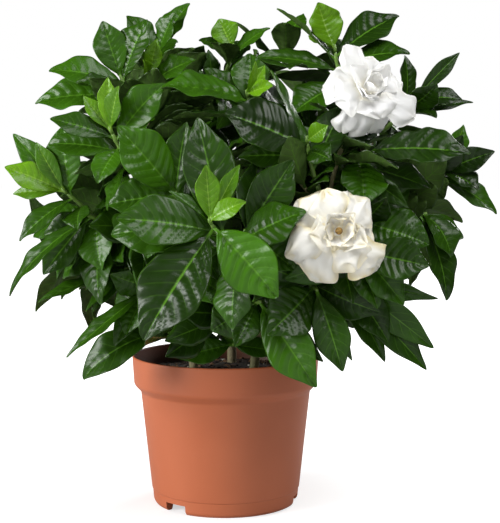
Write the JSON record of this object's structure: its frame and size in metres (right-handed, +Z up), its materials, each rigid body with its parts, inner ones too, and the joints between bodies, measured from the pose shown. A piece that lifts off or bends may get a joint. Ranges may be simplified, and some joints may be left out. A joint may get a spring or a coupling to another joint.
{
  "type": "potted gardenia",
  "caption": "Leafy evergreen gardenia shrub with open white double blooms, rooted in soil in a tapered plastic nursery pot that stands flat on its base.",
  "frame": {"origin": "the middle of the pot's base, on the plane that it stands on", "axes": "+Z up the pot's axis; -Y is the side that the blooms face; +X to the right as seen from there"},
  "size_m": [0.3201, 0.3143, 0.347],
  "materials": {
    "pot_plastic": "terracotta-coloured, fine matt injection-moulded surface",
    "potting_soil": "rough, dark, loose peat mix",
    "stem_bark": "matt tan-green bark",
    "leaf_green": "glossy, waxy, with sunken veins",
    "leaf_young": "satin, lime green",
    "petal_white": "matt, soft, ivory white",
    "stalk_green": "satin green",
    "stigma_ochre": "matt ochre"
  },
  "bodies": {
    "root": {"bloom_lower": "petal_white", "bloom_upper": "petal_white", "pot": "pot_plastic", "shoot_bloom_low_side": "leaf_green", "shoot_bloom_side": "leaf_green", "shoot_centre": "leaf_green", "shoot_centre_right": "leaf_green", "shoot_far_01": "leaf_green", "shoot_far_02": "leaf_green", "shoot_far_03": "leaf_green", "shoot_far_04": "leaf_green", "shoot_far_05": "leaf_green", "shoot_far_06": "leaf_green", "shoot_far_07": "leaf_green", "shoot_far_08": "leaf_green", "shoot_far_09": "leaf_green", "shoot_far_10": "leaf_green", "shoot_inner_1": "leaf_green", "shoot_inner_2": "leaf_green", "shoot_inner_3": "leaf_green", "shoot_inner_4": "leaf_green", "shoot_left_glossy": "leaf_green", "shoot_left_low": "leaf_green", "shoot_left_middle": "leaf_green", "shoot_left_rosette": "leaf_green", "shoot_low_front": "leaf_green", "shoot_low_front_right": "leaf_green", "shoot_low_left": "leaf_green", "shoot_low_left_front": "leaf_green", "shoot_low_right": "leaf_green", "shoot_middle_right": "leaf_green", "shoot_middle_rosette": "leaf_green", "shoot_right_droop": "leaf_green", "shoot_right_inner": "leaf_green", "shoot_right_outer": "leaf_green", "shoot_right_upper": "leaf_green", "shoot_rim_left": "leaf_green", "shoot_soil_front": "leaf_green", "shoot_top_left": "leaf_green", "shoot_top_middle": "leaf_green", "shoot_top_right": "leaf_green", "shoot_upper_left": "leaf_green", "shoot_upper_left_inner": "leaf_green", "soil": "potting_soil", "stalk_bloom_lower": "stalk_green", "stalk_bloom_upper": "stalk_green", "stems_back": "stem_bark", "stems_left": "stem_bark", "stems_right": "stem_bark", "stigma_bloom_lower": "stigma_ochre", "young_centre": "leaf_young", "young_left_glossy": "leaf_young", "young_left_rosette": "leaf_young", "young_middle_right": "leaf_young", "young_middle_rosette": "leaf_young", "young_right_outer": "leaf_young", "young_top_middle": "leaf_young", "young_top_right": "leaf_young", "young_upper_left_inner": "leaf_young"}
  },
  "joints": []
}
